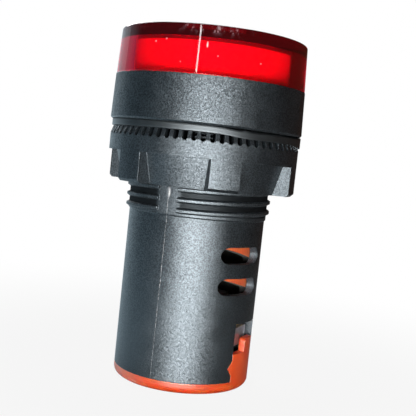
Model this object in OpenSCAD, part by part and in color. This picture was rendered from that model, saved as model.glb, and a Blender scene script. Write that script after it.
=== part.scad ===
// Panel indicator light with a screw-on nut and a snap-in terminal base.
// The rear face stands on Z = 0, the lens looks along +Z, and the wire windows open along +X and -X.

/* [Head] */
// Diameter of the bezel at the panel
head_d = 29; // [28:0.1:32]
// Height of the bezel in front of the panel
head_h = 6.6; // [6:0.1:9]
// Loss of radius from the bezel's foot to its front
head_taper = 0.2; // [0:0.05:0.5]
// Bevel on the bezel's foot
head_bevel = 0.25; // [0.1:0.05:0.6]
// Wall of the bezel's cup
cup_wall = 1.9; // [1.5:0.1:2.5]
// Height of the cup's floor above the panel
cup_floor_z = 2.65; // [2.2:0.05:3.5]
// Thickness of the cup's floor
cup_floor_t = 1.6; // [1:0.1:2]
// Width of the floor's ledge inside the barrel's bore
floor_ledge = 1.1; // [0.8:0.1:1.6]

/* [Lens] */
// Height of the lens in front of the bezel
lens_h = 6.75; // [5:0.05:10]
// Step in radius from the bezel's front to the lens
lens_step = 0.06; // [0:0.02:0.4]
// Loss of radius over the lens
lens_taper = 0.27; // [0:0.01:0.6]
// Rounding of the lens's front edge
lens_round = 0.3; // [0.2:0.1:1.2]
// Thickness of the lens's front
lens_front = 1.4; // [1:0.1:2.5]
// Length of the skirt that plugs into the bezel
skirt_h = 3.3; // [2.5:0.1:3.6]
// Wall of the skirt
skirt_wall = 0.7; // [0.5:0.05:1]
// Play between the skirt and the bezel
skirt_play = 0.1; // [0.05:0.01:0.2]
// Height of the snap bead over the skirt
bead_h = 0.2; // [0.15:0.01:0.35]
// Radial gap round the diffuser
diffuser_gap = 0.25; // [0.1:0.05:0.6]
// Wall of the diffuser
diffuser_wall = 0.8; // [0.5:0.1:1.2]

/* [Neck and barrel] */
// Depth of the light behind the panel
panel_depth = 38.35; // [37:0.05:46]
// Step in radius from the bezel's foot to the barrel
barrel_inset = 4.17; // [3.6:0.01:4.4]
// Wall of the barrel
barrel_wall = 1.2; // [1:0.05:1.6]
// Step in radius from the barrel to the threaded neck
neck_step = 0.17; // [0.1:0.01:0.3]
// Height of the thread over the neck
thread_h = 0.42; // [0.3:0.02:0.6]
// Pitch of the thread
thread_pitch = 1.5; // [1.25:0.05:2]
// Height of the neck's lower end over the rear face
neck_z = 25.25; // [24:0.05:27]
// Width of a thread ridge at its foot
ridge_foot_w = 0.84; // [0.6:0.02:0.96]
// Width of a thread ridge at its crest
ridge_crest_w = 0.34; // [0.2:0.02:0.5]
// Height of the first thread ridge over the neck's lower end
ridge_start = 0.5; // [0.45:0.05:0.8]
// Angle after the mould seam at which the thread begins
thread_lead_in = 80; // [60:5:90]
// Angle left bare at each mould seam
seam_gap = 16; // [8:1:30]

/* [Vent slots] */
// Height of a slot
slot_h = 2.5; // [1.5:0.1:3]
// Width of a slot across the barrel
slot_w = 7.4; // [5:0.1:8]
// Offset of the slots' middle from the middle of the wire window
slot_offset = 3.34; // [2:0.02:4]
// Height of the lower slot's middle
slot_z = 15.77; // [14:0.01:16.5]
// Height from one slot to the next
slot_step = 4.54; // [4:0.01:5]
// Slots one above the other
slot_rows = 2; // [1:1:2]
// Slope of the inner vents behind the slots
vent_slope = 14; // [8:1:18]
// Width of an inner vent
vent_w = 9.2; // [8:0.1:10]
// Offset of the inner vents' middle from the middle of the wire window
vent_offset = 2.2; // [1.6:0.02:2.8]
// Drop of an inner vent's middle below its slot's
vent_drop = 1.17; // [0.8:0.01:1.4]

/* [Wire notches] */
// Width of a notch in the barrel's rear edge
notch_w = 7.2; // [6.6:0.1:8]
// Height of a notch's top over the rear face
notch_z = 10.28; // [9.8:0.01:11.5]
// Depth of the barb's recess in a notch's side
barb_depth = 0.75; // [0.4:0.05:1]
// Height of the barb's point
barb_z = 3.7; // [3.4:0.05:4]
// Rise of the barb above and below its point
barb_rise = 1.1; // [0.8:0.05:1.3]

/* [Nut and gasket] */
// Height of the nut
nut_h = 7.85; // [7:0.05:10]
// Height of the nut's unbroken ring
nut_ring_h = 3.5; // [2.5:0.1:4.5]
// Reach of the nut's thread into the neck's, as a share of the thread's height
thread_engage = 0.6; // [0.4:0.05:0.7]
// Radial play of the nut over the thread
nut_play = 0.13; // [0.1:0.01:0.25]
// Wall of the nut at its rear end
nut_wall = 0.9; // [0.7:0.05:1.5]
// Flare of the nut's wall towards the ring
nut_flare = 1.15; // [0.5:0.05:1.5]
// Inset of the nut's lugs from the bezel's foot
nut_inset = 0.22; // [0.1:0.02:0.5]
// Number of lugs
lug_count = 6; // [4:1:8]
// Width of a lug
lug_w = 4.4; // [3.5:0.1:5.5]
// Direction of the first lug
lug_angle = 7.4; // [0:0.2:60]
// Bevel on the lugs' ends and the ring's rear edge
nut_bevel = 0.4; // [0.2:0.05:0.6]
// Number of teeth on the nut's face
tooth_count = 70; // [40:1:80]
// Depth of the gaps between the teeth
tooth_depth = 1.28; // [0.8:0.02:1.6]
// Width of the gaps between the teeth
tooth_gap = 0.7; // [0.4:0.02:0.76]
// Slope of the toothed edge, as a loss of radius
tooth_slope = 0.35; // [0.1:0.05:0.6]
// Height of that slope
tooth_slope_h = 1.02; // [0.6:0.02:1.2]
// Thickness of the gasket
gasket_t = 1; // [0.6:0.05:2]
// Inset of the gasket's edge from the bezel's foot
gasket_inset = 0.35; // [0.1:0.05:1]
// Radial play of the gasket on the thread
gasket_play = 0.15; // [0.1:0.05:0.4]
// Axial play on each face of the gasket
seat_play = 0.025; // [0.01:0.005:0.05]

/* [Terminal base] */
// Height of the base's rim under the barrel
rim_h = 1.65; // [1.3:0.05:1.8]
// Rounding of the rim's rear edge
rim_round = 1; // [0.5:0.05:1.2]
// Radial play of the base in the barrel's bore
base_play = 0.15; // [0.05:0.01:0.3]
// Play of a tab in its notch
tab_play = 0.08; // [0.05:0.01:0.15]
// Height of a tab's shoulders
shoulder_z = 5.75; // [5.2:0.05:6]
// Width of a tongue
tongue_w = 3.5; // [2.5:0.1:4]
// Thickness of a tongue
tongue_t = 0.95; // [0.7:0.05:1.1]
// Offset of a tongue from its tab's middle, clear of the wire's way in
tongue_offset = 1; // [0:0.1:1.4]
// Height of a tongue's top
tongue_z = 7.75; // [7.4:0.05:8]
// Rounding of a tongue's top corners
tongue_round = 0.6; // [0.4:0.1:1]
// Wall of the base's sleeve
sleeve_wall = 1.2; // [0.8:0.05:1.4]
// Height of the sleeve's top
sleeve_z = 23.5; // [22.2:0.1:25]

/* [Terminals] */
// Height of the seat that carries the brass strips
strip_z = 9.3; // [9:0.05:9.6]
// Thickness of a brass strip
strip_t = 1; // [0.6:0.1:1.4]
// Width of a brass strip
strip_w = 6.4; // [5.8:0.1:7]
// Inset of a strip's front end from the barrel's bore
strip_inset = 0.73; // [0.6:0.01:0.9]
// Height of a strip's upright tail
tail_h = 4.2; // [3:0.1:5]
// Width of a strip's upright tail
tail_w = 3; // [2:0.1:4]
// Thread diameter of a terminal screw
screw_d = 3; // [2.5:0.1:3]
// Length of a terminal screw under its head
screw_l = 6.5; // [6.2:0.1:8]
// Diameter of a screw head
screw_head_d = 4.9; // [4.5:0.1:5.2]
// Height of a screw head
screw_head_h = 1.8; // [1.4:0.1:2]
// Rounding of a screw head's edge
screw_head_round = 0.8; // [0.4:0.1:1]
// Width of the cross in a screw head
cross_w = 0.8; // [0.5:0.1:1]
// Depth of the cross in a screw head
cross_depth = 1.1; // [0.8:0.1:1.2]
// Room for a screwdriver round a screw head
well_room = 0.55; // [0.5:0.05:0.7]
// Thickness of a spring washer
washer_t = 0.7; // [0.5:0.05:0.8]
// Width of the slit in a spring washer
washer_slit = 0.5; // [0.3:0.1:0.8]
// Thickness of a clamp plate
clamp_t = 1; // [0.8:0.05:1.1]
// Width of a clamp plate
clamp_w = 5; // [4.4:0.1:5.1]
// Height of a clamp plate's bent lip
lip_h = 2.7; // [2:0.05:2.8]
// Thickness of a clamp plate's bent lip
lip_t = 0.85; // [0.6:0.05:0.95]
// Inset of the lip from the barrel's bore
lip_inset = 0.23; // [0.2:0.01:0.4]
// Gap between the lip and the screw head
lip_gap = 0.7; // [0.2:0.05:0.9]
// Travel of a clamp plate
clamp_travel = 2.4; // [1:0.1:2.5]

/* [Boards] */
// Thickness of both boards
board_t = 1.2; // [0.8:0.1:1.6]
// Depth of the driver board's seat in the base
board_seat = 1; // [0.6:0.1:1.5]
// Number of lamps
lamp_count = 6; // [3:1:8]
// Diameter of a lamp
lamp_d = 3; // [2:0.1:3.4]
// Height of the flange round a lamp's foot
lamp_flange_h = 0.8; // [0.5:0.1:1]
// Width of that flange
lamp_flange_w = 0.3; // [0.2:0.05:0.4]
// Height of a lamp under its dome
lamp_h = 2.6; // [1.6:0.1:3]
// Radius of the ring of lamps
lamp_ring_r = 6.2; // [5:0.1:8]
// Room between the film capacitor's corners and the barrel's bore
cap_room = 1.24; // [0.6:0.02:2]
// Thickness of the film capacitor
cap_t = 5.5; // [4:0.1:5.6]
// Height of the film capacitor
cap_h = 11; // [8:0.1:11.5]
// Diameter of a series resistor
resistor_d = 2.4; // [1.6:0.1:2.8]
// Length of a series resistor's body
resistor_l = 6.5; // [5:0.1:7]
// Spacing of the series resistors
resistor_step = 4.4; // [3.4:0.1:5]
// Diameter of the bleed resistor
bleed_d = 1.8; // [1.4:0.1:2.4]
// Length of the bleed resistor's body
bleed_l = 5; // [4:0.1:6]
// Diameter of a rectifier diode
diode_d = 1.8; // [1.2:0.1:2]
// Length of a rectifier diode's body
diode_l = 3.4; // [3:0.1:4]
// Spacing of the rectifier diodes
diode_step = 3.2; // [2.6:0.1:3.4]
// Diameter of the component leads and link pins
lead_d = 0.6; // [0.4:0.05:0.8]
// Height kept clear over and under the components
part_gap = 3; // [2.6:0.1:3.4]

/* [Hidden] */
$fn = 96;
far = 40;
over = 1;
snug = 0.1;

panel_z = panel_depth;
front_z = panel_z + head_h;
lens_z = front_z + lens_h;
head_r = head_d / 2;
front_r = head_r - head_taper;
cup_r = head_r - cup_wall;
cup_z = panel_z + cup_floor_z;
barrel_r = head_r - barrel_inset;
bore_r = barrel_r - barrel_wall;
neck_r = barrel_r + neck_step;
crest_r = neck_r + thread_h;
floor_hole_r = bore_r - floor_ledge;

lens_foot_r = front_r - lens_step;
lens_top_r = lens_foot_r - lens_taper;
skirt_r = cup_r - skirt_play;
cavity_r = skirt_r - skirt_wall;
cavity_z = lens_z - lens_front;
skirt_z = front_z - skirt_h;
bead_z = skirt_z + skirt_h / 3;
diffuser_r = cavity_r - diffuser_gap;
diffuser_z = cavity_z - snug * 2;
lamp_board_r = cavity_r - snug;
lamp_board_z = cup_z + board_t;

first_ridge_z = neck_z + ridge_start;
ridge_count = floor((panel_z - gasket_t - first_ridge_z) / (thread_pitch / 2)) + 1;
ridge_tilt = atan(thread_pitch / 4 / neck_r);
ridge_sink = 0.4;

nut_top_z = panel_z - gasket_t - 2 * seat_play;
nut_z = nut_top_z - nut_h;
nut_ring_z = nut_top_z - nut_ring_h;
nut_bore_r = crest_r + nut_play;
nut_wall_r = nut_bore_r + nut_wall;
nut_throat_r = nut_wall_r + nut_flare;
nut_r = head_r - nut_inset;
slope_z = nut_top_z - tooth_slope_h;
nut_ridge_h = nut_play + thread_h * thread_engage;
nut_ridge_foot_w = thread_pitch - ridge_foot_w;
nut_ridge_count = floor((nut_h - tooth_depth - thread_pitch) / (thread_pitch / 2));
nut_ridge_offset = ceil((nut_z + nut_ridge_foot_w - first_ridge_z) / thread_pitch) * thread_pitch;
gasket_z = panel_z - seat_play - gasket_t;
gasket_r = head_r - gasket_inset;
gasket_hole_r = crest_r + gasket_play;

plug_r = bore_r - base_play;
sleeve_r = plug_r - sleeve_wall;
tab_half = notch_w / 2 - tab_play;

clamp_end_x = bore_r - lip_inset;
screw_head_r = screw_head_d / 2;
screw_x = clamp_end_x - lip_t - lip_gap - screw_head_r;
well_r = screw_head_r + well_room;
barrier_x = screw_x - well_r;
clamp_start_x = barrier_x + 3 * snug;
clamp_z = strip_z - snug - clamp_t;
clamp_play = 0.15;
pocket_z = strip_z - snug - lip_h - clamp_travel - 2 * snug;
pocket_end_x = clamp_end_x + 2 * snug;
clamp_hole_r = screw_d / 2 + 2 * snug;
screw_seat_z = clamp_z - washer_t;
shank_r = screw_d / 2 - snug / 2;
strip_end_r = sleeve_r - snug;
strip_end_x = bore_r - strip_inset;
window_z = strip_z + strip_t + snug;
window_x = screw_x + screw_head_r;

driver_z = strip_z - board_seat;
driver_top_z = cup_z - snug;
driver_half_w = min(sleeve_r, floor_hole_r) - 4 * snug;
board_half_t = board_t / 2;
cap_half_w = sqrt(pow(bore_r - cap_room, 2) - pow(board_half_t + cap_t, 2));
cap_z = cup_z - cup_floor_t - part_gap - cap_h;
pin_r = lead_d / 2;
pin_x = board_half_t + pin_r;
pin_y = driver_half_w / 2;
pin_z = cup_z - part_gap;
resistor_z = sleeve_z + part_gap + resistor_d / 2;
bleed_z = sleeve_z - part_gap;
diode_z = sleeve_z - part_gap;

// Points of an arc about a centre, from one angle to another
function arc(centre, r, from, to, steps = 8) =
    [for (i = [0 : steps]) let (a = from + (to - from) * i / steps) centre + r * [cos(a), sin(a)]];

// Section of a thread ridge from its crest to a root sunk in the wall, with straight flanks
function ridge_profile(foot_r, top_r, foot_w, top_w) =
    let (rise = top_r - foot_r, root_r = foot_r - sign(rise) * ridge_sink,
        root_w = foot_w + (foot_w - top_w) * ridge_sink / abs(rise))
    [[root_r, -root_w / 2], [top_r, -top_w / 2], [top_r, top_w / 2], [root_r, root_w / 2]];

// A row of half-turn ridges, tilted to the thread's lead and broken at both mould seams, the first one shorter
module half_turn_ridges(profile, z, count, lead_in) {
    for (i = [0 : count - 1])
        translate([0, 0, z + i * thread_pitch / 2])
            rotate([0, 0, 180 * (i + 1)])
                rotate([ridge_tilt, 0, 0])
                    rotate([0, 0, seam_gap / 2 - 90 + (i == 0 ? lead_in : 0)])
                        rotate_extrude(angle = 180 - seam_gap - (i == 0 ? lead_in : 0))
                            polygon(profile);
}

// A shape laid out in Y and Z, carried along +X from x0 to x1
module along_x(x0, x1) {
    translate([x0, 0, 0])
        rotate([90, 0, 90])
            linear_extrude(height = x1 - x0)
                children();
}

// The same shape on the right and, turned half round, on the left
module both_sides() {
    for (turn = [0, 180])
        rotate([0, 0, turn])
            children();
}

// A rectangle on the Y axis with both of its top corners rounded
module round_topped(w, h, r) {
    translate([-w / 2, 0])
        square([w, h - r]);
    translate([r - w / 2, 0])
        square([w - 2 * r, h]);
    for (side = [-1, 1])
        translate([side * (w / 2 - r), h - r])
            circle(r = r);
}

// Outline of a tab or its notch: straight sides with a barb, up to a given height
module barbed_outline(half, z0, z1) {
    side = [[half, z0], [half, barb_z - barb_rise], [half + barb_depth, barb_z],
        [half, barb_z + barb_rise], [half, z1]];
    polygon(concat(side, [for (i = [len(side) - 1 : -1 : 0]) [-side[i][0], side[i][1]]]));
}

// A slot with round ends, cut along X from the axis outwards
module long_hole(w, offset, z, slope) {
    half = (w - slot_h) / 2;
    translate([0, -offset, z])
        rotate([-slope, 0, 0])
            along_x(0, far) {
                square([2 * half, slot_h], center = true);
                for (side = [-half, half])
                    translate([side, 0])
                        circle(d = slot_h);
            }
}

module housing() {
    color("#26292b") difference() {
        union() {
            rotate_extrude()
                polygon([[bore_r, rim_h], [barrel_r, rim_h], [barrel_r, neck_z], [neck_r, neck_z + neck_step],
                    [neck_r, panel_z], [head_r - head_bevel, panel_z], [head_r, panel_z + head_bevel],
                    [front_r, front_z], [cup_r, front_z], [cup_r, cup_z], [floor_hole_r, cup_z],
                    [floor_hole_r, cup_z - cup_floor_t], [bore_r, cup_z - cup_floor_t]]);
            half_turn_ridges(ridge_profile(neck_r, crest_r, ridge_foot_w, ridge_crest_w),
                first_ridge_z, ridge_count, thread_lead_in);
        }
        both_sides() {
            along_x(sleeve_r, far)
                barbed_outline(notch_w / 2, -over, notch_z);
            for (row = [0 : slot_rows - 1])
                long_hole(slot_w, slot_offset, slot_z + row * slot_step, 0);
        }
        rotate_extrude()
            polygon([[cup_r - over, bead_z - bead_h], [cup_r, bead_z - bead_h],
                [cup_r + bead_h - skirt_play + snug / 2, bead_z], [cup_r, bead_z + bead_h],
                [cup_r - over, bead_z + bead_h]]);
    }
}

module lens_cap() {
    round_c = [lens_top_r - lens_round, lens_z - lens_round];
    color("#c4101c") rotate_extrude()
        polygon(concat([[cavity_r, skirt_z], [skirt_r, skirt_z], [skirt_r, bead_z - bead_h],
            [skirt_r + bead_h, bead_z], [skirt_r, bead_z + bead_h], [skirt_r, front_z], [lens_foot_r, front_z]],
            arc(round_c, lens_round, 0, 90),
            [[0, lens_z], [0, cavity_z], [cavity_r, cavity_z]]));
}

module diffuser_cup() {
    inner_r = diffuser_r - diffuser_wall;
    color("#ff2a2e") rotate_extrude()
        polygon([[inner_r, lamp_board_z], [diffuser_r, lamp_board_z], [diffuser_r, diffuser_z],
            [0, diffuser_z], [0, diffuser_z - diffuser_wall], [inner_r, diffuser_z - diffuser_wall]]);
}

module led_board() {
    color("#e8e6da") difference() {
        translate([0, 0, cup_z])
            cylinder(r = lamp_board_r, h = board_t);
        for (side = [-1, 1])
            translate([pin_x, side * pin_y, cup_z - over])
                cylinder(r = pin_r + snug / 2, h = board_t + 2 * over);
    }
}

module led_lamps() {
    color("#ffb0a0") for (i = [0 : lamp_count - 1])
        rotate([0, 0, 360 * (i + 0.5) / lamp_count])
            translate([lamp_ring_r, 0, lamp_board_z]) {
                cylinder(d = lamp_d + 2 * lamp_flange_w, h = lamp_flange_h);
                cylinder(d = lamp_d, h = lamp_h);
                translate([0, 0, lamp_h])
                    sphere(d = lamp_d);
            }
}

module sealing_gasket() {
    color("#2b312e") translate([0, 0, gasket_z]) difference() {
        cylinder(r = gasket_r, h = gasket_t);
        translate([0, 0, -over])
            cylinder(r = gasket_hole_r, h = gasket_t + 2 * over);
    }
}

// The space round the nut's tapered wall that the lugs divide
module nut_recess() {
    difference() {
        translate([0, 0, nut_z - over])
            cylinder(r = far, h = nut_ring_z - nut_z + over);
        rotate_extrude()
            polygon([[0, nut_z - 2 * over], [nut_wall_r, nut_z - 2 * over], [nut_wall_r, nut_z],
                [nut_throat_r, nut_ring_z], [nut_throat_r, nut_ring_z + over], [0, nut_ring_z + over]]);
        for (i = [0 : lug_count - 1])
            rotate([0, 0, lug_angle + 360 * i / lug_count])
                translate([0, -lug_w / 2, nut_z - 2 * over])
                    cube([far, lug_w, nut_ring_z - nut_z + 3 * over]);
    }
}

// One gap between two teeth, right through the nut's wall and with a round bottom
module tooth_gap_cut() {
    along_x(nut_bore_r - over, far) {
        translate([0, nut_top_z - tooth_depth + tooth_gap / 2])
            circle(d = tooth_gap);
        translate([-tooth_gap / 2, nut_top_z - tooth_depth + tooth_gap / 2])
            square([tooth_gap, tooth_depth]);
    }
}

module mounting_nut() {
    color("#2a2d2f") {
        difference() {
            rotate_extrude()
                polygon([[nut_bore_r, nut_z], [nut_r - nut_bevel, nut_z], [nut_r, nut_z + nut_bevel],
                    [nut_r, slope_z], [nut_r - tooth_slope, nut_top_z], [nut_bore_r, nut_top_z]]);
            nut_recess();
            for (i = [0 : tooth_count - 1])
                rotate([0, 0, 360 * i / tooth_count])
                    tooth_gap_cut();
        }
        half_turn_ridges(
            ridge_profile(nut_bore_r, nut_bore_r - nut_ridge_h, nut_ridge_foot_w, ridge_crest_w),
            first_ridge_z + nut_ridge_offset + thread_pitch / 2, nut_ridge_count, 0);
    }
}

module tab() {
    intersection() {
        cylinder(r = barrel_r, h = notch_z);
        union() {
            along_x(sleeve_r, far)
                barbed_outline(tab_half, rim_h / 2, shoulder_z);
            along_x(barrel_r - tongue_t, far)
                translate([tongue_offset, rim_h])
                    round_topped(tongue_w, tongue_z - rim_h, tongue_round);
        }
    }
}

module terminal_base() {
    pocket_w = clamp_w + 2 * clamp_play;
    color("#e2532c") difference() {
        union() {
            difference() {
                rotate_extrude()
                    polygon(concat([[0, 0]],
                        arc([barrel_r - rim_round, rim_round], rim_round, -90, 0),
                        [[barrel_r, rim_h], [plug_r, rim_h], [plug_r, sleeve_z], [sleeve_r, sleeve_z],
                            [sleeve_r, strip_z], [0, strip_z]]));
                both_sides()
                    translate([window_x, -tab_half, shoulder_z])
                        cube([far, 2 * tab_half, window_z - shoulder_z]);
            }
            both_sides()
                tab();
        }
        both_sides() {
            translate([screw_x, 0, -over])
                cylinder(r = well_r, h = strip_z + over - snug);
            translate([barrier_x + snug, -pocket_w / 2, pocket_z])
                cube([pocket_end_x - barrier_x - snug, pocket_w, strip_z - pocket_z + over]);
            for (row = [0 : slot_rows - 1])
                long_hole(vent_w, vent_offset, slot_z + row * slot_step - vent_drop, vent_slope);
        }
        translate([-board_half_t - snug / 2, -driver_half_w - snug, driver_z])
            cube([board_t + snug, 2 * (driver_half_w + snug), board_seat + over]);
    }
}

module terminal_strip() {
    color("#c9a24a") difference() {
        union() {
            intersection() {
                translate([0, 0, strip_z])
                    cylinder(r = strip_end_r, h = strip_t);
                translate([board_half_t, -strip_w / 2, strip_z])
                    cube([far, strip_w, strip_t]);
            }
            translate([screw_x, -clamp_w / 2, strip_z])
                cube([strip_end_x - screw_x, clamp_w, strip_t]);
            translate([board_half_t, -tail_w / 2, strip_z])
                cube([strip_t, tail_w, tail_h + strip_t]);
        }
        translate([screw_x, 0, strip_z - over])
            cylinder(r = screw_d / 2, h = strip_t + 2 * over);
    }
}

module clamp_plate() {
    color("#a9a3a8") difference() {
        translate([0, -clamp_w / 2, clamp_z]) {
            translate([clamp_start_x, 0, 0])
                cube([clamp_end_x - clamp_start_x, clamp_w, clamp_t]);
            translate([clamp_end_x - lip_t, 0, clamp_t - lip_h])
                cube([lip_t, clamp_w, lip_h]);
        }
        translate([screw_x, 0, clamp_z - over])
            cylinder(r = clamp_hole_r, h = clamp_t + 2 * over);
    }
}

module terminal_screw() {
    color("#b9b8b4") translate([screw_x, 0, screw_seat_z]) difference() {
        union() {
            rotate_extrude()
                polygon(concat([[0, -screw_head_h]],
                    arc([screw_head_r - screw_head_round, screw_head_round - screw_head_h], screw_head_round, -90, 0),
                    [[screw_head_r, 0], [0, 0]]));
            cylinder(r = shank_r, h = screw_l);
        }
        for (turn = [0, 90])
            rotate([0, 0, turn])
                translate([-screw_d / 2, -cross_w / 2, -screw_head_h - over])
                    cube([screw_d, cross_w, cross_depth + over]);
    }
}

module spring_washer() {
    color("#8f9192") translate([screw_x, 0, screw_seat_z]) difference() {
        cylinder(r = screw_head_r - snug, h = washer_t);
        translate([0, 0, -over])
            cylinder(r = clamp_hole_r, h = washer_t + 2 * over);
        translate([0, -washer_slit / 2, -over])
            cube([far, washer_slit, washer_t + 2 * over]);
    }
}

module driver_board() {
    color("#c99a5b")
        translate([-board_half_t, -driver_half_w, driver_z])
            cube([board_t, 2 * driver_half_w, driver_top_z - driver_z]);
}

module film_capacitor() {
    color("#b3282d")
        translate([board_half_t, -cap_half_w, cap_z])
            cube([cap_t, 2 * cap_half_w, cap_h]);
}

// A round component lying along Y on the board, with two bent leads
module lead_component(d, l) {
    reach = l / 2 + d / 2;
    rise = d / 2 + snug;
    translate([board_half_t, 0, 0]) {
        translate([rise, -l / 2, 0])
            rotate([-90, 0, 0])
                cylinder(d = d, h = l);
        translate([rise, -reach, 0])
            rotate([-90, 0, 0])
                cylinder(d = lead_d, h = 2 * reach);
        for (side = [-1, 1])
            translate([0, side * reach, 0])
                rotate([0, 90, 0])
                    cylinder(d = lead_d, h = rise + pin_r);
    }
}

module series_resistors() {
    color("#6fa8b8") rotate([0, 0, 180])
        for (i = [0, 1])
            translate([0, 0, resistor_z + i * resistor_step])
                lead_component(resistor_d, resistor_l);
}

module bleed_resistor() {
    color("#d8c090") translate([0, 0, bleed_z])
        lead_component(bleed_d, bleed_l);
}

module rectifier_diodes() {
    color("#303030") rotate([0, 0, 180])
        for (i = [0 : 3])
            translate([0, (i - 1.5) * diode_step, diode_z])
                rotate([90, 0, 0])
                    lead_component(diode_d, diode_l);
}

module link_pins() {
    color("#d0d0cc") for (side = [-1, 1])
        translate([pin_x, side * pin_y, pin_z])
            cylinder(r = pin_r, h = lamp_board_z + 5 * snug - pin_z);
}

module left_of() {
    rotate([0, 0, 180])
        children();
}

housing();
lens_cap();
diffuser_cup();
led_board();
led_lamps();
sealing_gasket();
mounting_nut();
terminal_base();
terminal_strip();  // terminal_strip_right
left_of() terminal_strip();  // terminal_strip_left
clamp_plate();  // clamp_plate_right
left_of() clamp_plate();  // clamp_plate_left
terminal_screw();  // terminal_screw_right
left_of() terminal_screw();  // terminal_screw_left
spring_washer();  // spring_washer_right
left_of() spring_washer();  // spring_washer_left
driver_board();
film_capacitor();
series_resistors();
bleed_resistor();
rectifier_diodes();
link_pins();
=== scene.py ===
"""Looks of a panel indicator light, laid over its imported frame. Lengths are metres."""

import math

import bmesh
import bpy
import numpy as np
from mathutils import Matrix, Vector


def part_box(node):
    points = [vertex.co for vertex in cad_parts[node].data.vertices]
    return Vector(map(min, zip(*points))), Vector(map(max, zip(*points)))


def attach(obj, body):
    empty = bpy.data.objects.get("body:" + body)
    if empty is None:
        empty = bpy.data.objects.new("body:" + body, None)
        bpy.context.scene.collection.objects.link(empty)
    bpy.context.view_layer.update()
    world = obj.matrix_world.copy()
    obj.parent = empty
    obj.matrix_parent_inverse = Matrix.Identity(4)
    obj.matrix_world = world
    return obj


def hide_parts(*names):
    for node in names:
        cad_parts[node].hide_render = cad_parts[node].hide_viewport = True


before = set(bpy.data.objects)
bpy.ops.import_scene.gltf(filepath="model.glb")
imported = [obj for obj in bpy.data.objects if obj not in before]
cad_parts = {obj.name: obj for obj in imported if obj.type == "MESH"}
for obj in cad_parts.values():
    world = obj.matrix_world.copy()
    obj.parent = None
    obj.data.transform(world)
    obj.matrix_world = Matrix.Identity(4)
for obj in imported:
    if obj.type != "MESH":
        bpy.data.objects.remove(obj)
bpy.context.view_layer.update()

# Housing
# One moulding of black filled nylon: bezel, threaded neck and barrel in one shot. The mould was
# spark-eroded, so the skin is matte and sparkles, with dull pits that thin out towards the rear.


class Field:
    """A value that varies over a surface. Its operators add Math nodes to its finish."""

    def __init__(self, finish, socket):
        self.finish = finish
        self.socket = socket

    def math(self, operation, *values):
        return self.finish.math(operation, self, *values)

    def __add__(self, other):
        return self.math("ADD", other)

    def __sub__(self, other):
        return self.math("SUBTRACT", other)

    def __rsub__(self, other):
        return self.finish.math("SUBTRACT", other, self)

    def __mul__(self, other):
        return self.math("MULTIPLY", other)

    def __or__(self, other):
        """The larger of two values, which joins two masks."""
        return self.math("MAXIMUM", other)

    def __abs__(self):
        return self.math("ABSOLUTE")

    __radd__ = __add__
    __rmul__ = __mul__

    def ramp(self, low, high):
        """0 below low, 1 above high, and a smooth step between them."""
        settings = {"interpolation_type": "SMOOTHSTEP"}
        return self.finish.add("ShaderNodeMapRange", settings, {"Value": self, 1: low, 2: high})

    def fade(self, low, high):
        """1 below low, 0 above high, and a smooth step between them."""
        return 1 - self.ramp(low, high)


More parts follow.
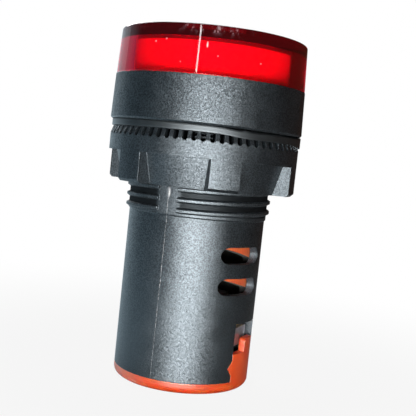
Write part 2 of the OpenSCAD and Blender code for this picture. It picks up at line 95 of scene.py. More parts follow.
class Finish:
    """A node tree and the one method that adds a node to it."""

    def __init__(self, owner):
        owner.use_nodes = True
        self.owner = owner
        self.tree = owner.node_tree
        self.tree.nodes.clear()

    def add(self, kind, settings=None, sockets=None, output=0):
        """Adds a node, sets its settings, then its sockets' values or links, and gives one output."""
        node = self.tree.nodes.new(kind)
        for key, value in (settings or {}).items():
            setattr(node, key, value)
        for key, value in (sockets or {}).items():
            if isinstance(value, Field):
                self.tree.links.new(value.socket, node.inputs[key])
            else:
                node.inputs[key].default_value = value
        return Field(self, node.outputs[output] if node.outputs else None)

    def math(self, operation, *values):
        return self.add("ShaderNodeMath", {"operation": operation}, dict(enumerate(values)))

    def vector(self, operation, *values, output=0):
        return self.add("ShaderNodeVectorMath", {"operation": operation}, dict(enumerate(values)), output)

    def place(self, axis=None):
        """Object coordinates, or one of them: 0, 1 or 2 for X, Y or Z."""
        where = self.add("ShaderNodeTexCoord", output="Object")
        return where if axis is None else self.add("ShaderNodeSeparateXYZ", None, {0: where}, axis)

    def from_axis(self):
        """Distance from the Z axis: the length of the place with its height left out."""
        return self.vector("LENGTH", self.vector("MULTIPLY", self.place(), (1, 1, 0)), output=1)

    def along(self, way):
        """How far the place lies from the origin along a direction."""
        return self.vector("DOT_PRODUCT", self.place(), way, output=1)

    def noise(self, scale, detail=2.0, rough=0.5, stretch=(1, 1, 1)):
        """Cloudy noise on object coordinates, drawn out along an axis where its stretch is small."""
        where = self.add("ShaderNodeMapping", None, {"Vector": self.place(), "Scale": stretch})
        sockets = {"Vector": where, "Scale": scale, "Detail": detail, "Roughness": rough}
        return self.add("ShaderNodeTexNoise", None, sockets)

    def blend(self, factor, first, second):
        """A colour between two others, each a constant or a field."""
        ends = {6: first, 7: second}
        ends = {k: v if isinstance(v, Field) else (*v, 1) for k, v in ends.items()}
        return self.add("ShaderNodeMix", {"data_type": "RGBA"}, {**ends, 0: factor}, 2)

    def rolled_edge(self, radius):
        """A normal that turns over sharp edges as if they were rolled, and a mask of those edges."""
        rolled = self.add("ShaderNodeBevel", {"samples": 6}, {"Radius": radius})
        flat = self.add("ShaderNodeNewGeometry", output="Normal")
        return rolled, (1 - self.vector("DOT_PRODUCT", rolled, flat, output=1)).ramp(0.01, 0.16)

    def bump(self, height, depth, normal=None):
        """A normal tipped by a height field, over another normal where one is given."""
        sockets = {"Height": height, "Distance": depth, "Strength": 1.0}
        if normal is not None:
            sockets["Normal"] = normal
        return self.add("ShaderNodeBump", None, sockets)

    def facets(self, scale, tilt, lift, normal):
        """A normal tipped its own way, sideways by tilt and upwards by lift, in each of many small
        cells, and each cell's chance value."""
        sockets = {"Vector": self.place(), "Scale": scale}
        cell = self.add("ShaderNodeTexVoronoi", {"feature": "F1"}, sockets, "Color")
        lean = self.vector("MULTIPLY_ADD", cell, (tilt, tilt, lift), (-tilt / 2, -tilt / 2, -lift / 2))
        chance = self.add("ShaderNodeSeparateXYZ", None, {0: cell}, 0)
        return self.vector("NORMALIZE", self.vector("ADD", normal, lean)), chance

    def matt(self, colour):
        """A plain diffuse shader."""
        return self.add("ShaderNodeBsdfDiffuse", None, {"Color": (*colour, 1)})

    def gloss(self, **sockets):
        """A Principled shader. Underscores in a socket's name stand for spaces, and a colour gets its
        fourth number here."""
        named = {}
        for key, value in sockets.items():
            is_colour = isinstance(value, tuple) and key != "Subsurface_Radius"
            named[key.replace("_", " ")] = (*value, 1) if is_colour else value
        return self.add("ShaderNodeBsdfPrincipled", None, named)

    def mixed(self, factor, first, second):
        """The second shader laid over the first by a factor."""
        return self.add("ShaderNodeMixShader", None, {0: factor, 1: first, 2: second})

    def surface(self, **sockets):
        """Ends the tree in a Principled shader."""
        self.add("ShaderNodeOutputMaterial", None, {"Surface": self.gloss(**sockets)})
        return self.owner


def new_finish(name):
    """An empty material in which a finish is built."""
    return Finish(bpy.data.materials.new(name))


def dress(material, *names):
    """Gives CAD nodes one material."""
    for name in names:
        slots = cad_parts[name].data.materials
        slots.clear()
        slots.append(material)


# A pair of radii or heights is where a soft edge starts and ends.
BORE_R = (0.01018, 0.01026)
WINDOWS_TOP = (0.0225, 0.0230)
NECK_FOOT, NECK_TOP = (0.0252, 0.0257), (0.0382, 0.0384)
PITS_THIN_OUT = (0.004, 0.024)
# Rubbed grey pales worn edges and is partly a painted highlight; the lit grey is painted light on inner cut
# walls; the black is for dull pits and painted shade.
RUBBED_AND_GLINT_GREY, PAINTED_LIGHT_GREY, PIT_AND_SHADE_BLACK = (0.15, 0.17, 0.19), (0.08, 0.095, 0.11), (0.006, 0.007, 0.008)


def spark_eroded(name, deep, pale, neck_rough, hollow_r, hollow_foot, flat_half):
    """Black moulded skin: each tiny cell tips the normal and shades the colour its own way, a cloud
    makes the gloss patchy, edges are rubbed pale, partly as a painted highlight, and a noise lays
    dull pits. Inside BORE_R and below WINDOWS_TOP the skin is painted grey as painted light on the
    walls of the vent slots and wire windows. Inside hollow_r and over hollow_foot it is mixed into
    flat black as painted shade, but not within flat_half of the plane of the seams."""
    skin = new_finish(name)
    height = skin.place(2)
    from_axis = skin.from_axis()
    rolled, edge = skin.rolled_edge(radius=0.00009)
    cloud = skin.noise(scale=420, detail=3.0, rough=0.6)
    tooth = skin.bump(skin.noise(scale=7000, detail=2.0, rough=0.6), depth=0.000003, normal=rolled)
    facet, chance = skin.facets(scale=15000, tilt=0.13, lift=0.39, normal=tooth)

    # Edges are paled where worn, and partly this is a painted highlight along them.
    rubbed_and_glint = edge * skin.noise(scale=1500).ramp(0.35, 0.62)
    colour = skin.blend(cloud.ramp(0.3, 0.7) * 0.4 + chance.ramp(0.55, 1.0) * 0.6, deep, pale)
    colour = skin.blend(rubbed_and_glint * 0.55, colour, RUBBED_AND_GLINT_GREY)
    # Painted light: inside the bore and below the windows' top, the walls of the vent slots and wire windows
    # are painted grey as if lit.
    colour = skin.blend(from_axis.fade(*BORE_R) * height.fade(*WINDOWS_TOP), colour, PAINTED_LIGHT_GREY)
    neck = height.ramp(*NECK_FOOT) * height.fade(*NECK_TOP)
    patchy = 0.34 + (chance - 0.5) * 0.08 + cloud.ramp(0.35, 0.65) * 0.05 + neck * neck_rough
    shiny = skin.gloss(Base_Color=colour, Roughness=patchy - edge * 0.04, Normal=facet, IOR=1.5,
                       Specular_IOR_Level=1.0, Specular_Tint=(0.76, 0.89, 1.0))

    pits = skin.noise(scale=5200, detail=1.0).fade(0.36, 0.64)
    pits = pits * (0.3 + height.ramp(*PITS_THIN_OUT) * 0.7)
    # Painted shade: inside hollow_r and over hollow_foot the skin is mixed into flat black, as shade in the
    # thread roots and tooth gaps.
    hollow_shade = from_axis.fade(*hollow_r) * height.ramp(hollow_foot, hollow_foot + 0.0004)
    hollow_shade = hollow_shade * abs(skin.place(0)).ramp(*flat_half)
    pitted_and_shaded = skin.mixed((hollow_shade * 0.9) | (pits * 0.5), shiny, skin.matt(PIT_AND_SHADE_BLACK))
    skin.add("ShaderNodeOutputMaterial", None, {"Surface": pitted_and_shaded})
    return skin.owner


black_housing = spark_eroded(
    "black_housing", deep=(0.008, 0.0125, 0.016), pale=(0.014, 0.022, 0.028), neck_rough=0.10,
    hollow_r=(0.01052, 0.01070), hollow_foot=0.0256, flat_half=(0.0012, 0.0021))
dress(black_housing, "housing")

# Mould seams
# Where the mould's two halves met, a hair of flash stands along the barrel and the flats of the
# thread, front and back, with a torn blob just under the nut.


def grid_faces(rows, columns, wrap_rows=False, wrap_columns=False):
    """Quads between neighbours of a grid of points, row by row, with either way closed on itself."""
    i = np.arange(rows if wrap_rows else rows - 1)[:, None]
    j = np.arange(columns if wrap_columns else columns - 1)[None, :]
    down = (i + 1) % rows
    along = (j + 1) % columns
    corners = [i * columns + j, down * columns + j, down * columns + along, i * columns + along]
    return np.stack(np.broadcast_arrays(*corners), -1).reshape(-1, 4)


def make_piece(name, points, faces, material, body, slot, smooth_deg=40):
    """A mesh from points and faces, poles merged, faces turned outwards, riding on a CAD body."""
    mesh = bpy.data.meshes.new(name)
    mesh.from_pydata(np.asarray(points, float).tolist(), [], np.asarray(faces).tolist())
    shape = bmesh.new()
    shape.from_mesh(mesh)
    bmesh.ops.remove_doubles(shape, verts=shape.verts, dist=1e-8)
    bmesh.ops.dissolve_degenerate(shape, edges=shape.edges, dist=1e-9)
    bmesh.ops.recalc_face_normals(shape, faces=shape.faces)
    shape.to_mesh(mesh)
    shape.free()
    mesh.shade_smooth()
    mesh.set_sharp_from_angle(angle=math.radians(smooth_deg))
    mesh.materials.append(material)
    piece = bpy.data.objects.new(name, mesh)
    bpy.context.scene.collection.objects.link(piece)
    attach(piece, body)
    return piece


BARREL_R, NECK_R, NECK_Z = 0.01033, 0.01050, 0.02525
SEAM_FOOT, SEAM_TOP, SEAM_SINK = 0.00165, 0.0296, 0.00003
BLOB_Z, BLOB_HALF = 0.02860, 0.00085
SEAM_RINGS, SEAM_SIDES = 260, 10


def flash_bead():
    """Points of a bead up the front of the barrel: an ellipse round a line just under the wall, which
    follows the step to the neck, closed to a point at both ends. Its half-width and its height wander
    as sines of z, and both swell by the exponential of minus a fourth power in a blob."""
    z = np.linspace(SEAM_FOOT, SEAM_TOP, SEAM_RINGS)[:, None]
    turn = np.linspace(0, 2 * np.pi, SEAM_SIDES, endpoint=False)
    wander = np.sin(z * 2100) * np.sin(z * 870 + 0.7)
    blob = np.exp(-((z - BLOB_Z) / BLOB_HALF) ** 4)
    half_wide = 0.000045 + 0.000020 * wander + 0.00030 * blob
    proud = 0.000018 + 0.000014 * np.sin(z * 3300 + 1.0) + 0.00014 * blob
    neck_step = NECK_R - BARREL_R
    line = BARREL_R + neck_step * np.clip((z - NECK_Z) / neck_step, 0, 1) - SEAM_SINK
    closing = np.ones_like(z)
    closing[[0, -1]] = 0
    across = (half_wide * np.cos(turn) + 0.00002 * wander) * closing
    out = line + (proud + SEAM_SINK) * np.sin(turn) * closing
    return np.stack(np.broadcast_arrays(across, -out, z), -1).reshape(-1, 3)


flash = new_finish("seam_flash")
crumble = flash.noise(scale=2600)
scar = flash.place(2).ramp(0.0276, 0.0280) * flash.place(2).fade(0.0293, 0.0295)
torn = crumble.ramp(0.34, 0.56) | scar
flash_finish = flash.surface(
    Base_Color=flash.blend(torn, (0.014, 0.018, 0.022), (0.19, 0.22, 0.25)),
    Roughness=0.36 + crumble * 0.2, Normal=flash.bump(crumble, depth=0.00002))
front_seam = flash_bead()
back_seam = front_seam * (-1, -1, 1)
seam_faces = grid_faces(SEAM_RINGS, SEAM_SIDES, wrap_columns=True)
make_piece("mould_seams", np.vstack([front_seam, back_seam]),
           np.vstack([seam_faces, seam_faces + len(front_seam)]), flash_finish,
           "root", "black_housing", smooth_deg=60)

# Lens cap
# A clear red polycarbonate cap, moulded with a thick front and a thin skirt that snaps into the
# bezel. Its inner face lies just over the diffuser, and its front edge is scuffed from handling.


def turned(profile, segments=192):
    """A profile of radius and height carried round the Z axis."""
    profile = np.asarray(profile, float)
    angle = np.linspace(0, 2 * np.pi, segments, endpoint=False)
    ring = np.stack([np.cos(angle), np.sin(angle), np.zeros_like(angle)], -1)
    points = profile[:, None, :1] * ring[None] + np.array([0, 0, 1]) * profile[:, None, 1:]
    return points.reshape(-1, 3), grid_faces(len(profile), segments, wrap_columns=True)


def rounded(centre, radius, start, end, steps):
    """Points of an arc in the profile's plane, between two angles in degrees."""
    angle = np.radians(np.linspace(start, end, steps))
    return np.stack([centre[0] + radius * np.cos(angle), centre[1] + radius * np.sin(angle)], -1)


LENS_TOP, LENS_FOOT, SKIRT_END, INSIDE_GAP = 0.0517, 0.04495, 0.04165, 0.00001
CAVITY_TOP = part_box("diffuser_cup")[1][2] + INSIDE_GAP
TOP_R, FOOT_R, CAVITY_R, SKIRT_R = 0.01397, 0.01424, 0.0118, 0.0125
MIDDLE_R, EDGE, FOOT_EDGE, INSET = 0.006, 0.0003, 0.00009, 0.000005
SNAP_Z, SNAP_H = 0.04275, 0.0002
HANDLED_WAY = (0.40, -0.92, 0.0)
lens_profile = np.vstack([
    [[0, LENS_TOP], [MIDDLE_R, LENS_TOP], [TOP_R - EDGE - 0.0006, LENS_TOP]],
    rounded((TOP_R - EDGE, LENS_TOP - EDGE), EDGE, start=90, end=2.6, steps=16),
    np.linspace((TOP_R - INSET, LENS_TOP - EDGE - 0.0001), (FOOT_R - INSET, LENS_FOOT + 0.0002), 9),
    rounded((FOOT_R - FOOT_EDGE, LENS_FOOT + FOOT_EDGE), FOOT_EDGE, start=0, end=-90, steps=5),
    [[SKIRT_R, LENS_FOOT], [SKIRT_R, SNAP_Z + SNAP_H], [SKIRT_R + SNAP_H, SNAP_Z],
     [SKIRT_R, SNAP_Z - SNAP_H], [SKIRT_R, SKIRT_END], [CAVITY_R, SKIRT_END]],
    [[CAVITY_R, CAVITY_TOP], [MIDDLE_R, CAVITY_TOP], [0, CAVITY_TOP]],
])
red = new_finish("red_lens")
handled = red.along(HANDLED_WAY).ramp(0.0128, 0.0139) * red.place(2).ramp(0.0500, 0.0512)
scuffs = red.noise(scale=1100, detail=4.0, rough=0.7, stretch=(1, 1, 0.5)).ramp(0.50, 0.66) * handled
hairs = red.noise(scale=2400, stretch=(0.12, 0.12, 1)).ramp(0.68, 0.74)
wear = scuffs | (hairs * 0.35)
# Painted glow: a faint red emission stands in for light scattered inside the cap.
clear = red.gloss(Base_Color=(1.0, 0.05, 0.08), Roughness=0.015 + wear * 0.45, IOR=1.58,
                  Transmission_Weight=0.975, Normal=red.bump(wear, depth=0.000003),
                  Emission_Color=(0.016, 0.0006, 0.0008), Emission_Strength=1.0)
scuffed = red.mixed(scuffs * 0.30, clear, red.matt((0.42, 0.30, 0.36)))
stain = red.add("ShaderNodeVolumeAbsorption", None, {"Color": (0.930, 0.70, 0.90, 1), "Density": 1900.0})
red.add("ShaderNodeOutputMaterial", None, {"Surface": scuffed, "Volume": stain})
lens = make_piece("lens", *turned(lens_profile), red.owner, "root", "red_lens", smooth_deg=50)
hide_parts("lens_cap")
lens.visible_shadow = False

# Dust on the lens
# A few pale crumbs and one dried drop that cling to the front of the lens wall. Each row gives a
# crumb's polar angle in degrees, its height, its half-width and its half-height.
CRUMBS = np.array([[-100.8, 0.04902, 0.00010, 0.00009], [-93.9, 0.04939, 0.00009, 0.00010],
                   [-70.0, 0.04895, 0.00011, 0.00040], [-63.7, 0.04755, 0.00007, 0.00007],
                   [-38.9, 0.04735, 0.00008, 0.00007], [-84.0, 0.04640, 0.00005, 0.00006]])
CRUMB_THICK = 0.00003


def wall_crumbs(rows, sides=14, rings=9):
    """Balls pressed on the lens wall: a sphere of two angles, scaled along the outward, sideways and
    upward ways of each crumb's place, and moved there on the tapering wall."""
    polar, up, wide, tall = rows.T[:, :, None, None]
    polar = np.radians(polar)
    nought = np.zeros_like(polar)
    outward = np.concatenate([np.cos(polar), np.sin(polar), nought], -1)
    sideways = np.concatenate([-np.sin(polar), np.cos(polar), nought], -1)
    upward = np.array([0, 0, 1])
    turn, lift = np.meshgrid(np.linspace(0, 2 * np.pi, sides, endpoint=False),
                             np.linspace(-np.pi / 2, np.pi / 2, rings))
    ball_out = np.sin(lift).reshape(1, -1, 1)
    ball_side = (np.cos(lift) * np.cos(turn)).reshape(1, -1, 1)
    ball_up = (np.cos(lift) * np.sin(turn)).reshape(1, -1, 1)
    wall_r = FOOT_R + (TOP_R - FOOT_R) * (up - LENS_FOOT) / (LENS_TOP - LENS_FOOT)
    points = (wall_r + CRUMB_THICK * ball_out) * outward + wide * ball_side * sideways
    points = points + (up + tall * ball_up) * upward
    first = np.arange(len(rows))[:, None, None] * (sides * rings)
    faces = grid_faces(rings, sides, wrap_columns=True)[None] + first
    return points.reshape(-1, 3), faces.reshape(-1, 4)


lint = new_finish("lens_dust")
fluff = lint.noise(scale=9000)
lint_finish = lint.surface(Base_Color=lint.blend(fluff, (0.75, 0.60, 0.60), (0.85, 0.80, 0.80)),
                           Roughness=0.7 + fluff * 0.2)
make_piece("lens_dust", *wall_crumbs(CRUMBS), lint_finish, "root", "red_lens", smooth_deg=60)

# Diffuser cup
# A thin cup of bright red translucent plastic round the lamps, seen through the clear lens wall.
# Its front shoulder is painted dark, as painted shade under the lens's thick front.
glow = new_finish("red_diffuser")
mist = glow.noise(scale=700)
# Painted shade: the top band of the cup's wall is darkened nearly to black.
shoulder = glow.from_axis().ramp(0.0086, 0.0100) * glow.place(2).ramp(0.04945, 0.04975)
glow_colour = glow.blend(mist, (0.70, 0.004, 0.165), (0.66, 0.004, 0.15))
dress(glow.surface(Base_Color=glow.blend(shoulder * 0.93, glow_colour, (0.02, 0.001, 0.004)),
                   Roughness=0.5 + mist * 0.15, Specular_IOR_Level=0.12,
                   Normal=glow.bump(glow.noise(scale=3000), depth=0.00001)), "diffuser_cup")

# Lamp board and lamps
# A round white-masked board that rests on the bezel's floor and carries a ring of clear red lamps.
mask = new_finish("lamp_board")
mottle = mask.noise(scale=900, detail=3.0)
dress(mask.surface(Base_Color=mask.blend(mottle, (0.74, 0.72, 0.66), (0.82, 0.81, 0.76)),
                   Roughness=0.4 + mottle * 0.15, Normal=mask.bump(mottle, depth=0.00001)), "led_board")
epoxy = new_finish("lamp_epoxy")
swirl = epoxy.noise(scale=600)
dress(epoxy.surface(Base_Color=epoxy.blend(swirl, (0.85, 0.25, 0.2), (0.9, 0.4, 0.33)),
                    Roughness=0.12 + swirl * 0.1, Transmission_Weight=0.6, IOR=1.5), "led_lamps")

# Sealing gasket
# A punched ring of dark rubber between bezel and panel. It is a little wavy: to the right of the
# front its rim hangs off the bezel, with a small nick, and further on it bulges down over the teeth.
RING_IN, RING_OUT, RING_TOP, RING_LOW = 0.01107, 0.01418, 0.038325, 0.037325
RING_SECTION = np.array([
    [RING_IN, 0], [0.0122, 0], [0.0131, 0], [0.01386, 0], [0.01405, 0], [0.01414, 0.03],
    [RING_OUT, 0.12], [RING_OUT, 0.32], [RING_OUT - 0.00001, 0.5], [RING_OUT, 0.68], [RING_OUT, 0.90],
    [0.01413, 0.98], [0.01404, 1], [0.0138, 1], [0.0134, 1], [0.0130, 1], [0.0122, 1], [RING_IN, 1]])
RING_STEPS = 360
HANG, BACK_HANG, NICK, BULGE_OUT, BULGE_DOWN = 0.00034, 0.00006, 0.00022, 0.00026, 0.00070
VIEW_POLAR = math.radians(-66)


def bell(angle, middle, half, soft):
    """1 within half of a middle angle, and beyond that the exponential of minus a square."""
    return np.exp(-(np.clip(np.abs(angle - middle) - half, 0, None) / soft) ** 2)


def wavy_ring():
    """The ring's section, rows of radius and share of its height, carried round the axis. Bells of
    the angle lower the outer rim, push it outwards and down, and lift a nick in its upper edge."""
    radius, level = RING_SECTION[:, :1], RING_SECTION[:, 1:]
    around = np.linspace(0, 2 * np.pi, RING_STEPS, endpoint=False)[None]
    facing = np.degrees(np.angle(np.exp(1j * (around - VIEW_POLAR))))
    sag = HANG * bell(facing, middle=45, half=21, soft=11)
    waves = 1 + np.sin(3 * around + 1.1)
    sag = sag + BACK_HANG * waves * bell(facing, middle=-170, half=0, soft=60)
    bulge = bell(facing, middle=96, half=12, soft=14)
    outer = np.clip((radius - 0.0138) / 0.0003, 0, 1)
    top_part = level * np.clip((radius - 0.0126) / 0.0015, 0, 1) ** 2
    low_part = (1 - level) * np.clip((radius - 0.01392) / 0.00018, 0, 1)
    hang = (top_part + low_part) * sag + low_part * BULGE_DOWN * bulge
    upper_third = np.clip(level * 3 - 2, 0, 1)
    nick = NICK * bell(facing, middle=22.5, half=0, soft=2) * outer * upper_third
    z = RING_LOW + (RING_TOP - RING_LOW) * level - hang + np.minimum(nick, hang)
    wide = radius + outer * BULGE_OUT * bulge
    points = np.stack(np.broadcast_arrays(wide * np.cos(around), wide * np.sin(around), z), -1)
    return points.reshape(-1, 3), grid_faces(len(RING_SECTION), RING_STEPS, wrap_rows=True, wrap_columns=True)


rubber = new_finish("gasket_rubber")
bloom = rubber.noise(scale=500, detail=4.0, rough=0.65)
streak = rubber.noise(scale=700, detail=3.0, rough=0.6, stretch=(0.15, 0.15, 3))
rubber_finish = rubber.surface(
    Base_Color=rubber.blend(bloom.ramp(0.3, 0.7), (0.007, 0.0095, 0.011), (0.015, 0.019, 0.021)),
    Roughness=0.34 + streak * 0.12,
    Normal=rubber.bump(streak * 0.6 + rubber.noise(scale=2600) * 0.4, depth=0.000012),
    Specular_IOR_Level=0.6, Specular_Tint=(0.80, 0.91, 1.0), IOR=1.5)
gasket = make_piece("gasket_ring", *wavy_ring(), rubber_finish, "gasket", "gasket_rubber")
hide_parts("sealing_gasket")

# Mounting nut
# A second black moulding that screws up the neck behind the panel, with teeth that bite the panel
# and six bars for the fingers. Same grain as the housing, slightly greyer, and no flats.
# Painted shade: the gaps between the teeth are mixed into flat black through hollow_r and hollow_foot.
black_nut = spark_eroded(
    "black_nut", deep=(0.009, 0.0135, 0.017), pale=(0.015, 0.023, 0.029), neck_rough=0.0,
    hollow_r=(0.0128, 0.0138), hollow_foot=0.0356, flat_half=(-0.002, -0.001))
dress(black_nut, "mounting_nut")

# Terminal base
# Orange moulding snapped into the barrel's rear by two barbed tabs, its sleeve close behind the vent
# slots, its tongues in the wire windows. Its hollows are painted black as shade, one side of its rim
# has a painted pale sheen, and its edges are paled, partly worn and partly a painted highlight.
RIM_TOP, POCKET_FOOT, POCKET_TOP = (0.0016, 0.0020), (0.0034, 0.0036), (0.0104, 0.0105)
BORE_FOOT, SLEEVE_FOOT = (0.01035, 0.01045), (0.0120, 0.0135)
SLEEVE_IN_R, POCKET_R = (0.00894, 0.00899), (0.0091, 0.0094)
SHEEN_SIDE_WAY = (-0.914, -0.407, 0)
orange = new_finish("orange_base")
above = orange.place(2)
inward = orange.from_axis()
worn_and_glint_edge = orange.rolled_edge(radius=0.00012)[1]
rounded_normal = orange.rolled_edge(radius=0.00025)[0]
flow = orange.noise(scale=160, detail=3.0, rough=0.55, stretch=(1, 1, 0.4))
speckle = orange.noise(scale=2300)
sleeve = above.ramp(*SLEEVE_FOOT)
# Painted sheen: one side of the rim is paled towards white as a reflection.
painted_sheen = orange.along(SHEEN_SIDE_WAY).ramp(0.003, 0.0105) * above.fade(*RIM_TOP)
# Painted shade: the inside of the sleeve and the terminal pockets are painted black.
bore = above.ramp(*BORE_FOOT) * inward.fade(*SLEEVE_IN_R)
pocket = above.ramp(*POCKET_FOOT) * above.fade(*POCKET_TOP) * inward.fade(*POCKET_R)
painted_shade = bore | pocket
orange_colour = orange.blend(flow.ramp(0.3, 0.7), (0.88, 0.088, 0.012), (0.95, 0.112, 0.018))
# Edges are paled, partly worn and partly a painted highlight along them.
orange_colour = orange.blend(worn_and_glint_edge * 0.35, orange_colour, (0.95, 0.33, 0.18))
orange_colour = orange.blend(sleeve * 0.8, orange_colour, (0.95, 0.17, 0.012))
orange_colour = orange.blend(painted_sheen * 0.6, orange_colour, (0.95, 0.42, 0.36))
orange_colour = orange.blend(painted_shade, orange_colour, (0.006, 0.006, 0.007))
dress(orange.surface(Base_Color=orange_colour, Specular_IOR_Level=0.5, IOR=1.5,
                     Roughness=0.31 + speckle * 0.12 + painted_shade * 0.4 + sleeve * 0.15,
                     Subsurface_Weight=0.5, Subsurface_Radius=(1.0, 0.2, 0.06), Subsurface_Scale=0.0006,
                     Normal=orange.bump(speckle * 0.5 + flow, depth=0.00002, normal=rounded_normal)),
      "terminal_base")

# Terminals
# Stamped brass strips carry the current. Under each, a zinc-plated clamp plate is drawn up against
# the wire by a plated cross-head screw with a split steel washer.


def worked_metal(name, dull, bright, rough, lines):
    """Plated or bare metal: brushed lines along one way, cloudy tarnish and rubbed edges."""
    metal = new_finish(name)
    rolled, edge = metal.rolled_edge(radius=0.00006)
    brush = metal.noise(scale=2600, detail=3.0, rough=0.6, stretch=lines)
    tarnish = metal.noise(scale=480, detail=4.0, rough=0.6)
    colour = metal.blend(tarnish.ramp(0.3, 0.7), dull, bright)
    return metal.surface(Base_Color=metal.blend(edge * 0.4, colour, bright), Metallic=1.0,
                         Roughness=rough + brush * 0.18 - edge * 0.1,
                         Normal=metal.bump(brush, depth=0.00001, normal=rolled))


strip_brass = worked_metal("strip_brass", dull=(0.48, 0.32, 0.12), bright=(0.82, 0.58, 0.25),
                           rough=0.24, lines=(1, 0.1, 1))
dress(strip_brass, "terminal_strip_right", "terminal_strip_left")
plated_steel = worked_metal("plated_steel", dull=(0.30, 0.28, 0.31), bright=(0.50, 0.47, 0.51),
                            rough=0.34, lines=(0.1, 1, 1))
dress(plated_steel, "clamp_plate_right", "clamp_plate_left", "terminal_screw_right", "terminal_screw_left")
washer_steel = worked_metal("washer_steel", dull=(0.28, 0.28, 0.29), bright=(0.52, 0.52, 0.53),
                            rough=0.3, lines=(1, 1, 0.2))
dress(washer_steel, "spring_washer_right", "spring_washer_left")

# Driver board and its parts
# A paper-laminate board stands on edge between the two poles, with a dipped film capacitor, two
# lacquered resistors, a bleed resistor and four moulded diodes soldered flat against it.
laminate = new_finish("driver_board")
fibre = laminate.noise(scale=1500, detail=3.0, rough=0.6, stretch=(1, 1, 0.3))
dress(laminate.surface(Base_Color=laminate.blend(fibre, (0.42, 0.25, 0.10), (0.58, 0.38, 0.19)),
                       Roughness=0.45 + fibre * 0.2, Normal=laminate.bump(fibre, depth=0.00002)),
      "driver_board")
dip = new_finish("capacitor_case")
run = dip.noise(scale=260, detail=3.0)
dress(dip.surface(Base_Color=dip.blend(run, (0.34, 0.03, 0.025), (0.46, 0.06, 0.045)),
                  Roughness=0.2 + run * 0.15, Normal=dip.bump(run, depth=0.00008)), "film_capacitor")


def banded(name, body, half_length, rough, half_band, bands):
    """A lacquered body with painted rings at places along Y, and bare tinned leads past its ends."""
    coat = new_finish(name)
    along = coat.place(1)
    ripple = coat.noise(scale=1200)
    colour = coat.blend(ripple, body, tuple(c * 0.8 for c in body))
    for middle, paint in bands:
        colour = coat.blend(abs(along - middle).fade(half_band * 0.9, half_band * 1.1), colour, paint)
    lead = abs(along).ramp(half_length, half_length + 0.00005)
    return coat.surface(Base_Color=coat.blend(lead, colour, (0.6, 0.6, 0.58)), Metallic=lead,
                        Roughness=rough + ripple * 0.15)


VIOLET, BLACK, RED, GOLD = (0.3, 0.05, 0.4), (0.02, 0.02, 0.02), (0.45, 0.03, 0.02), (0.6, 0.42, 0.1)
BROWN, YELLOW = (0.1, 0.05, 0.02), (0.6, 0.5, 0.03)
resistor_body = banded("resistor_body", (0.12, 0.30, 0.38), 0.00327, rough=0.3, half_band=0.00028, bands=[
    (-0.0022, VIOLET), (-0.0012, BLACK), (-0.0002, RED), (0.0020, GOLD)])
dress(resistor_body, "series_resistors")
bleed_body = banded("bleed_body", (0.58, 0.44, 0.26), 0.00252, rough=0.35, half_band=0.00022, bands=[
    (-0.0016, BROWN), (-0.0008, BLACK), (0.0, YELLOW), (0.0015, GOLD)])
dress(bleed_body, "bleed_resistor")

DIODE_Z, DIODE_MARK_Z = 0.0205, 0.0216
diode = new_finish("diode_body")
soot = diode.noise(scale=1800)
mark = abs(diode.place(2) - DIODE_MARK_Z).fade(0.0002, 0.00023)
bare = abs(diode.place(2) - DIODE_Z).ramp(0.00171, 0.00174)
diode_colour = diode.blend(soot, (0.02, 0.02, 0.02), (0.04, 0.04, 0.04))
diode_colour = diode.blend(mark, diode_colour, (0.6, 0.6, 0.6))
dress(diode.surface(Base_Color=diode.blend(bare, diode_colour, (0.62, 0.62, 0.6)), Metallic=bare,
                    Roughness=0.35 + soot * 0.2), "rectifier_diodes")
tin = new_finish("tinned_wire")
haze = tin.noise(scale=1500, detail=3.0)
dress(tin.surface(Base_Color=tin.blend(haze, (0.5, 0.5, 0.49), (0.72, 0.72, 0.7)), Metallic=1.0,
                  Roughness=0.3 + haze * 0.2), "link_pins")

# Studio
# A pale floor and white behind. Lamps stand low in front (one for gloss alone), to the left, above
# and behind, with small fills for the matt rim. The left rear is bright and cool, the right dim.
COOL_WHITE, WHITE = (0.72, 0.94, 1.06), (1, 1, 1)


def beside_camera(turn_deg, distance, z):
    """A point at an angle from the camera, seen from above (negative is left), and at a distance
    from the axis."""
    polar = VIEW_POLAR + math.radians(turn_deg)
    return Vector((distance * math.cos(polar), distance * math.sin(polar), z))


def soft_lamp(name, where, aim_z, size, watts, colour, lights="all"):
    """A rectangular lamp turned towards a point of the axis, unseen by the camera. It may light only
    gloss or only matt."""
    data = bpy.data.lights.new(name, "AREA")
    data.shape = "RECTANGLE"
    data.size, data.size_y = size
    data.energy = watts
    data.color = colour
    lamp = bpy.data.objects.new(name, data)
    facing = (Vector((0, 0, aim_z)) - where).to_track_quat("-Z", "Y").to_matrix().to_4x4()
    lamp.matrix_world = Matrix.Translation(where) @ facing
    bpy.context.scene.collection.objects.link(lamp)
    lamp.visible_camera = False
    lamp.visible_diffuse = lights != "gloss"
    lamp.visible_transmission = lights != "gloss"
    lamp.visible_glossy = lights != "matt"


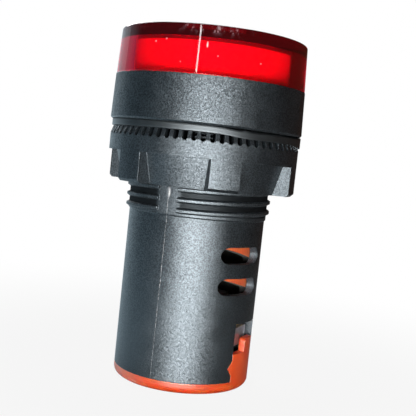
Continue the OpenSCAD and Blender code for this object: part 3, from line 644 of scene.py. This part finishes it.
soft_lamp("close_lamp", beside_camera(0, 0.120, 0.0125), aim_z=0.026, size=(0.100, 0.024),
          watts=0.127, colour=(1.0, 0.985, 0.96))
soft_lamp("sheen_lamp", beside_camera(0, 0.120, 0.0125), aim_z=0.026, size=(0.100, 0.024),
          watts=0.70, colour=(1.03, 0.99, 0.935), lights="gloss")
soft_lamp("rear_sheen", beside_camera(-148, 0.36, 0.05), aim_z=0.03, size=(0.30, 0.30),
          watts=0.09, colour=(0.86, 0.96, 1.0), lights="gloss")
soft_lamp("strip_lamp", beside_camera(-17.9, 0.30, 0.19), aim_z=0.19, size=(0.0095, 0.22),
          watts=0.085, colour=WHITE)
soft_lamp("top_lamp", beside_camera(-170, 0.16, 0.42), aim_z=0.03, size=(0.25, 0.25),
          watts=0.5, colour=(0.95, 0.98, 1.0))
soft_lamp("warm_fill", beside_camera(70, 0.055, 0.006), aim_z=0.004, size=(0.012, 0.008),
          watts=0.0022, colour=(1, 0.55, 0.35), lights="matt")
soft_lamp("low_fill", beside_camera(-62, 0.055, 0.006), aim_z=0.004, size=(0.012, 0.008),
          watts=0.0021, colour=(1, 0.95, 0.92), lights="matt")
soft_lamp("back_fill", beside_camera(180, 0.26, 0.07), aim_z=0.025, size=(0.10, 0.10),
          watts=0.09, colour=(1, 0.98, 0.95))
soft_lamp("rear_lamp", beside_camera(-150, 0.36, 0.24), aim_z=0.02, size=(0.16, 0.16),
          watts=0.6, colour=WHITE)

FLOOR_R, FLOOR_DROP, FLOOR_GREY = 0.11, 0.00005, (0.25, 0.25, 0.25)
ground = new_finish("pale_floor")
floor_seen = ground.add("ShaderNodeLightPath", output="Is Camera Ray")
left_rear = ground.along(tuple(beside_camera(-120, 1, 0))).ramp(-0.004, 0.02)
floor_mirrored = ground.add("ShaderNodeLightPath", output="Is Glossy Ray") * left_rear * 0.85
paper_colour = ground.blend(floor_seen, COOL_WHITE, WHITE)
paper = ground.add("ShaderNodeEmission", None, {"Color": paper_colour, "Strength": 1.0})
grey = ground.matt(FLOOR_GREY)
shaded_paper = ground.mixed(0.90 + ground.from_axis().ramp(0.02, FLOOR_R) * 0.10, grey, paper)
floor_surface = ground.mixed(floor_seen | floor_mirrored, grey, shaded_paper)
ground.add("ShaderNodeOutputMaterial", None, {"Surface": floor_surface})
floor_rings = np.linspace((0, -FLOOR_DROP), (FLOOR_R, -FLOOR_DROP), 24)
floor_points, floor_faces = turned(floor_rings, segments=96)
floor_mesh = bpy.data.meshes.new("floor")
floor_mesh.from_pydata(floor_points.tolist(), [], floor_faces.tolist())
floor_mesh.materials.append(ground.owner)
floor = bpy.data.objects.new("floor", floor_mesh)
bpy.context.scene.collection.objects.link(floor)

room = Finish(bpy.data.worlds.new("studio"))
bpy.context.scene.world = room.owner
heading = room.add("ShaderNodeTexCoord", output="Generated")
rear = room.vector("DOT_PRODUCT", heading, tuple(beside_camera(-165, 1, 0)), output=1)
left = room.vector("DOT_PRODUCT", heading, tuple(beside_camera(-90, 1, 0)), output=1)
rise = room.add("ShaderNodeSeparateXYZ", None, {0: heading}, 2)
seen = room.add("ShaderNodeLightPath", output="Is Camera Ray")
glossy = room.add("ShaderNodeLightPath", output="Is Glossy Ray")
through = room.add("ShaderNodeLightPath", output="Is Transmission Ray") * left.ramp(0.15, 0.45)
mirrored = glossy * left.ramp(-0.20, 0.20) * (0.90 - rise.ramp(0.04, 0.12) * 0.55)
shown = seen | ((mirrored | through) * rear.ramp(0.40, 0.78))
backdrop_colour = room.blend(seen, COOL_WHITE, WHITE)
backdrop = room.add("ShaderNodeBackground", None, {"Color": backdrop_colour, "Strength": 1.0})
cool = room.blend(glossy * rise.fade(0.03, 0.13), (0.024, 0.031, 0.038), (0.16, 0.26, 0.33))
dim = room.blend(left.ramp(-0.5, 1.0), (0.050, 0.020, 0.010), cool)
ambient = room.add("ShaderNodeBackground", None, {"Color": dim, "Strength": 1.0})
room.add("ShaderNodeOutputWorld", None, {"Surface": room.mixed(shown, ambient, backdrop)})

# Camera
# Level with the nut and close in, turned a little to the left of the right-hand wire window.
DISTANCE, EYE_Z = 0.11842, 0.03434
FOCAL_PX, FRAME_PX = 773.5, 416
pitch, yaw, roll = (math.radians(a) for a in (-3.90, 0.77, -6.13))
ahead = Vector((math.sin(yaw) * math.cos(pitch), math.cos(yaw) * math.cos(pitch), math.sin(pitch)))
level_right = Vector((math.cos(yaw), -math.sin(yaw), 0))
level_down = ahead.cross(level_right)
right = math.cos(roll) * level_right + math.sin(roll) * level_down
down = math.cos(roll) * level_down - math.sin(roll) * level_right
axes = Matrix((right, -down, -ahead)).transposed()
swing = Matrix.Rotation(VIEW_POLAR + math.pi / 2, 4, "Z")
camera_data = bpy.data.cameras.new("camera")
camera_data.sensor_width = 36.0
camera_data.lens = FOCAL_PX / FRAME_PX * camera_data.sensor_width
camera_data.clip_start = 0.005
camera = bpy.data.objects.new("camera", camera_data)
camera.matrix_world = swing @ Matrix.Translation((0, -DISTANCE, EYE_Z)) @ axes.to_4x4()
bpy.context.scene.collection.objects.link(camera)
bpy.context.scene.camera = camera
bpy.context.scene.view_settings.view_transform = "Standard"
